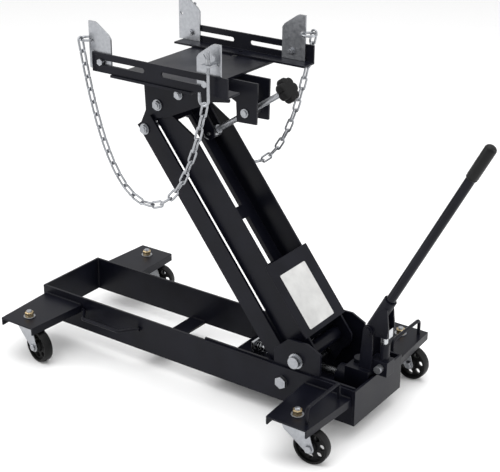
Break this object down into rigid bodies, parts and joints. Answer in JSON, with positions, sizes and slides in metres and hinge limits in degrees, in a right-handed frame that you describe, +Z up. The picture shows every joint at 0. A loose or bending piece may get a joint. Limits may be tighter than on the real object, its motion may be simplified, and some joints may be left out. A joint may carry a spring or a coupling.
{
  "type": "transmission jack",
  "caption": "Low-profile hydraulic transmission jack: rolling steel frame, parallel-link lift arm, tilting saddle with slotted rails, fingers and hold-down chains, and a lever pump.",
  "frame": {"origin": "on the floor, under the middle of the jack's bounding box, at the height shown", "axes": "+X points to the pump and handle end, +Y to the operator's right when facing the nose, +Z up"},
  "size_m": [1.063, 0.5, 0.79],
  "materials": {
    "black_enamel": "semi-gloss black powder coat",
    "zinc": "zinc-plated steel",
    "bright_steel": "ground and polished steel",
    "wheel_plastic": "moulded satin plastic",
    "knob_plastic": "moulded matt plastic",
    "grip_rubber": "matt moulded grip"
  },
  "bodies": {
    "frame": {"side_rail_left": "black_enamel", "side_rail_right": "black_enamel", "front_plate": "black_enamel", "rear_plate": "black_enamel", "cross_bar": "black_enamel", "pump_floor_plate": "black_enamel", "wing_front_left": "black_enamel", "wing_front_right": "black_enamel", "wing_rear_left": "black_enamel", "wing_rear_right": "black_enamel", "pivot_plate_left": "black_enamel", "pivot_plate_right": "black_enamel", "carry_handle_left": "black_enamel", "carry_handle_right": "black_enamel", "main_pivot_shaft": "zinc", "link_lower_bolt_left": "zinc", "link_lower_bolt_right": "zinc", "pump_body": "black_enamel", "ram_cylinder": "black_enamel", "spring_guide": "bright_steel", "ram_return_spring": "bright_steel"},
    "arm": {"lift_arm": "black_enamel", "arm_cover_plate": "black_enamel"},
    "links": {"link_bar_left": "black_enamel", "link_bar_right": "black_enamel"},
    "head": {"head_bracket": "black_enamel", "head_pivot_shaft": "zinc", "upper_link_shaft": "zinc", "tilt_pin": "zinc"},
    "saddle": {"saddle_plate": "black_enamel"},
    "anchor": {"screw_anchor": "zinc"},
    "knob": {"tilt_screw": "zinc", "star_knob": "knob_plastic"},
    "trunnion": {"screw_trunnion": "zinc"},
    "ram": {"ram_rod": "bright_steel"},
    "piston": {"pump_piston": "bright_steel"},
    "valve": {"release_valve": "zinc"},
    "socket": {"handle_socket": "black_enamel"},
    "handle": {"handle_tube": "black_enamel", "handle_grip": "grip_rubber"},
    "rail_left": {"saddle_rail_left": "black_enamel", "chain_left": "zinc"},
    "rail_right": {"saddle_rail_right": "black_enamel", "chain_right": "zinc"},
    "finger_front_left_slide": {"finger_front_left": "zinc", "chain_ring_left": "zinc"},
    "finger_rear_left_slide": {"finger_rear_left": "zinc", "chain_hook_left": "zinc"},
    "finger_front_right_slide": {"finger_front_right": "zinc", "chain_hook_right": "zinc"},
    "finger_rear_right_slide": {"finger_rear_right": "zinc", "chain_ring_right": "zinc"},
    "caster_front_left": {"caster_fork_front_left": "zinc"},
    "wheel_front_left": {"caster_wheel_front_left": "wheel_plastic"},
    "caster_front_right": {"caster_fork_front_right": "zinc"},
    "wheel_front_right": {"caster_wheel_front_right": "wheel_plastic"},
    "caster_rear_left": {"caster_fork_rear_left": "zinc"},
    "wheel_rear_left": {"caster_wheel_rear_left": "wheel_plastic"},
    "caster_rear_right": {"caster_fork_rear_right": "zinc"},
    "wheel_rear_right": {"caster_wheel_rear_right": "wheel_plastic"}
  },
  "joints": [
    {"name": "lift", "type": "hinge", "parent": "frame", "child": "arm", "pos_m": [0.17347, 0, 0.138], "axis": [0, 1, 0], "range_deg": [-52.4, 13.6]},
    {"name": "link_swing", "type": "hinge", "parent": "frame", "child": "links", "pos_m": [0.14347, 0, 0.082], "axis": [0, 1, 0], "range_deg": [-52.4, 13.6]},
    {"name": "head_level", "type": "hinge", "parent": "arm", "child": "head", "pos_m": [-0.19262, 0, 0.61337], "axis": [0, 1, 0], "range_deg": [-13.6, 52.4]},
    {"name": "ram_slide", "type": "slide", "parent": "frame", "child": "ram", "axis": [-1, 0, 0], "range_m": [-0.0537, 0.0141], "deforming": ["ram_return_spring"]},
    {"name": "saddle_tilt", "type": "hinge", "parent": "head", "child": "saddle", "pos_m": [-0.13662, 0, 0.64537], "axis": [0, -1, 0], "range_deg": [-8, 10]},
    {"name": "screw_swing", "type": "hinge", "parent": "head", "child": "anchor", "pos_m": [-0.10262, 0, 0.55337], "axis": [0, -1, 0], "range_deg": [-6.6, 8.2]},
    {"name": "knob_turn", "type": "hinge", "parent": "anchor", "child": "knob", "pos_m": [-0.10262, 0, 0.55337], "axis": [-0.8307, 0, -0.5567], "range_deg": [-960, 1200]},
    {"name": "trunnion_swing", "type": "hinge", "parent": "saddle", "child": "trunnion", "pos_m": [-0.00562, 0, 0.61837], "axis": [0, -1, 0], "range_deg": [-2, 1.6]},
    {"name": "rail_left_slide", "type": "slide", "parent": "saddle", "child": "rail_left", "axis": [0, -1, 0], "range_m": [-0.0045, 0.008]},
    {"name": "rail_right_slide", "type": "slide", "parent": "saddle", "child": "rail_right", "axis": [0, 1, 0], "range_m": [-0.0045, 0.008]},
    {"name": "finger_front_left_slide", "type": "slide", "parent": "rail_left", "child": "finger_front_left_slide", "axis": [1, 0, 0], "range_m": [-0.003, 0.1], "deforming": ["chain_left"]},
    {"name": "finger_rear_left_slide", "type": "slide", "parent": "rail_left", "child": "finger_rear_left_slide", "axis": [1, 0, 0], "range_m": [-0.1, 0.001], "deforming": ["chain_left"]},
    {"name": "finger_front_right_slide", "type": "slide", "parent": "rail_right", "child": "finger_front_right_slide", "axis": [1, 0, 0], "range_m": [-0.003, 0.1], "deforming": ["chain_right"]},
    {"name": "finger_rear_right_slide", "type": "slide", "parent": "rail_right", "child": "finger_rear_right_slide", "axis": [1, 0, 0], "range_m": [-0.1, 0.001], "deforming": ["chain_right"]},
    {"name": "pump_handle", "type": "hinge", "parent": "frame", "child": "socket", "pos_m": [0.29747, 0, 0.214], "axis": [0, 1, 0], "range_deg": [-20, 30]},
    {"name": "pump_piston", "type": "slide", "parent": "frame", "child": "piston", "axis": [0, 0, -1], "range_m": [-0.011, 0.0165]},
    {"name": "handle_draw", "type": "slide", "parent": "socket", "child": "handle", "axis": [0.4602, 0, 0.8878], "range_m": [0, 0.05]},
    {"name": "release_turn", "type": "hinge", "parent": "frame", "child": "valve", "pos_m": [0.32847, 0, 0.138], "axis": [0, 1, 0], "range_deg": [0, 270]},
    {"name": "swivel_front_left", "type": "hinge", "parent": "frame", "child": "caster_front_left", "pos_m": [-0.46853, -0.209, 0], "axis": [0, 0, 1], "continuous": true},
    {"name": "wheel_front_left_spin", "type": "hinge", "parent": "caster_front_left", "child": "wheel_front_left", "pos_m": [-0.43527, -0.21607, 0.038], "axis": [0.2079, 0.9781, 0], "continuous": true},
    {"name": "swivel_front_right", "type": "hinge", "parent": "frame", "child": "caster_front_right", "pos_m": [-0.46853, 0.209, 0], "axis": [0, 0, 1], "continuous": true},
    {"name": "wheel_front_right_spin", "type": "hinge", "parent": "caster_front_right", "child": "wheel_front_right", "pos_m": [-0.43554, 0.21723, 0.038], "axis": [-0.2419, 0.9703, 0], "continuous": true},
    {"name": "swivel_rear_left", "type": "hinge", "parent": "frame", "child": "caster_rear_left", "pos_m": [0.25447, -0.209, 0], "axis": [0, 0, 1], "continuous": true},
    {"name": "wheel_rear_left_spin", "type": "hinge", "parent": "caster_rear_left", "child": "wheel_rear_left", "pos_m": [0.28834, -0.20604, 0.038], "axis": [-0.0872, 0.9962, 0], "continuous": true},
    {"name": "swivel_rear_right", "type": "hinge", "parent": "frame", "child": "caster_rear_right", "pos_m": [0.25447, 0.209, 0], "axis": [0, 0, 1], "continuous": true},
    {"name": "wheel_rear_right_spin", "type": "hinge", "parent": "caster_rear_right", "child": "wheel_rear_right", "pos_m": [0.28842, 0.20722, 0.038], "axis": [0.0523, 0.9986, 0], "continuous": true}
  ],
  "couplings": [
    {"joint": "link_swing", "follows": "lift", "ratio": 1},
    {"joint": "head_level", "follows": "lift", "ratio": -1},
    {"joint": "ram_slide", "follows": "lift", "m_per_rad": 0.0585},
    {"joint": "screw_swing", "follows": "saddle_tilt", "ratio": 0.809},
    {"joint": "trunnion_swing", "follows": "saddle_tilt", "ratio": -0.191},
    {"joint": "knob_turn", "follows": "saddle_tilt", "ratio": 118.7},
    {"joint": "pump_piston", "follows": "pump_handle", "m_per_rad": 0.031}
  ]
}
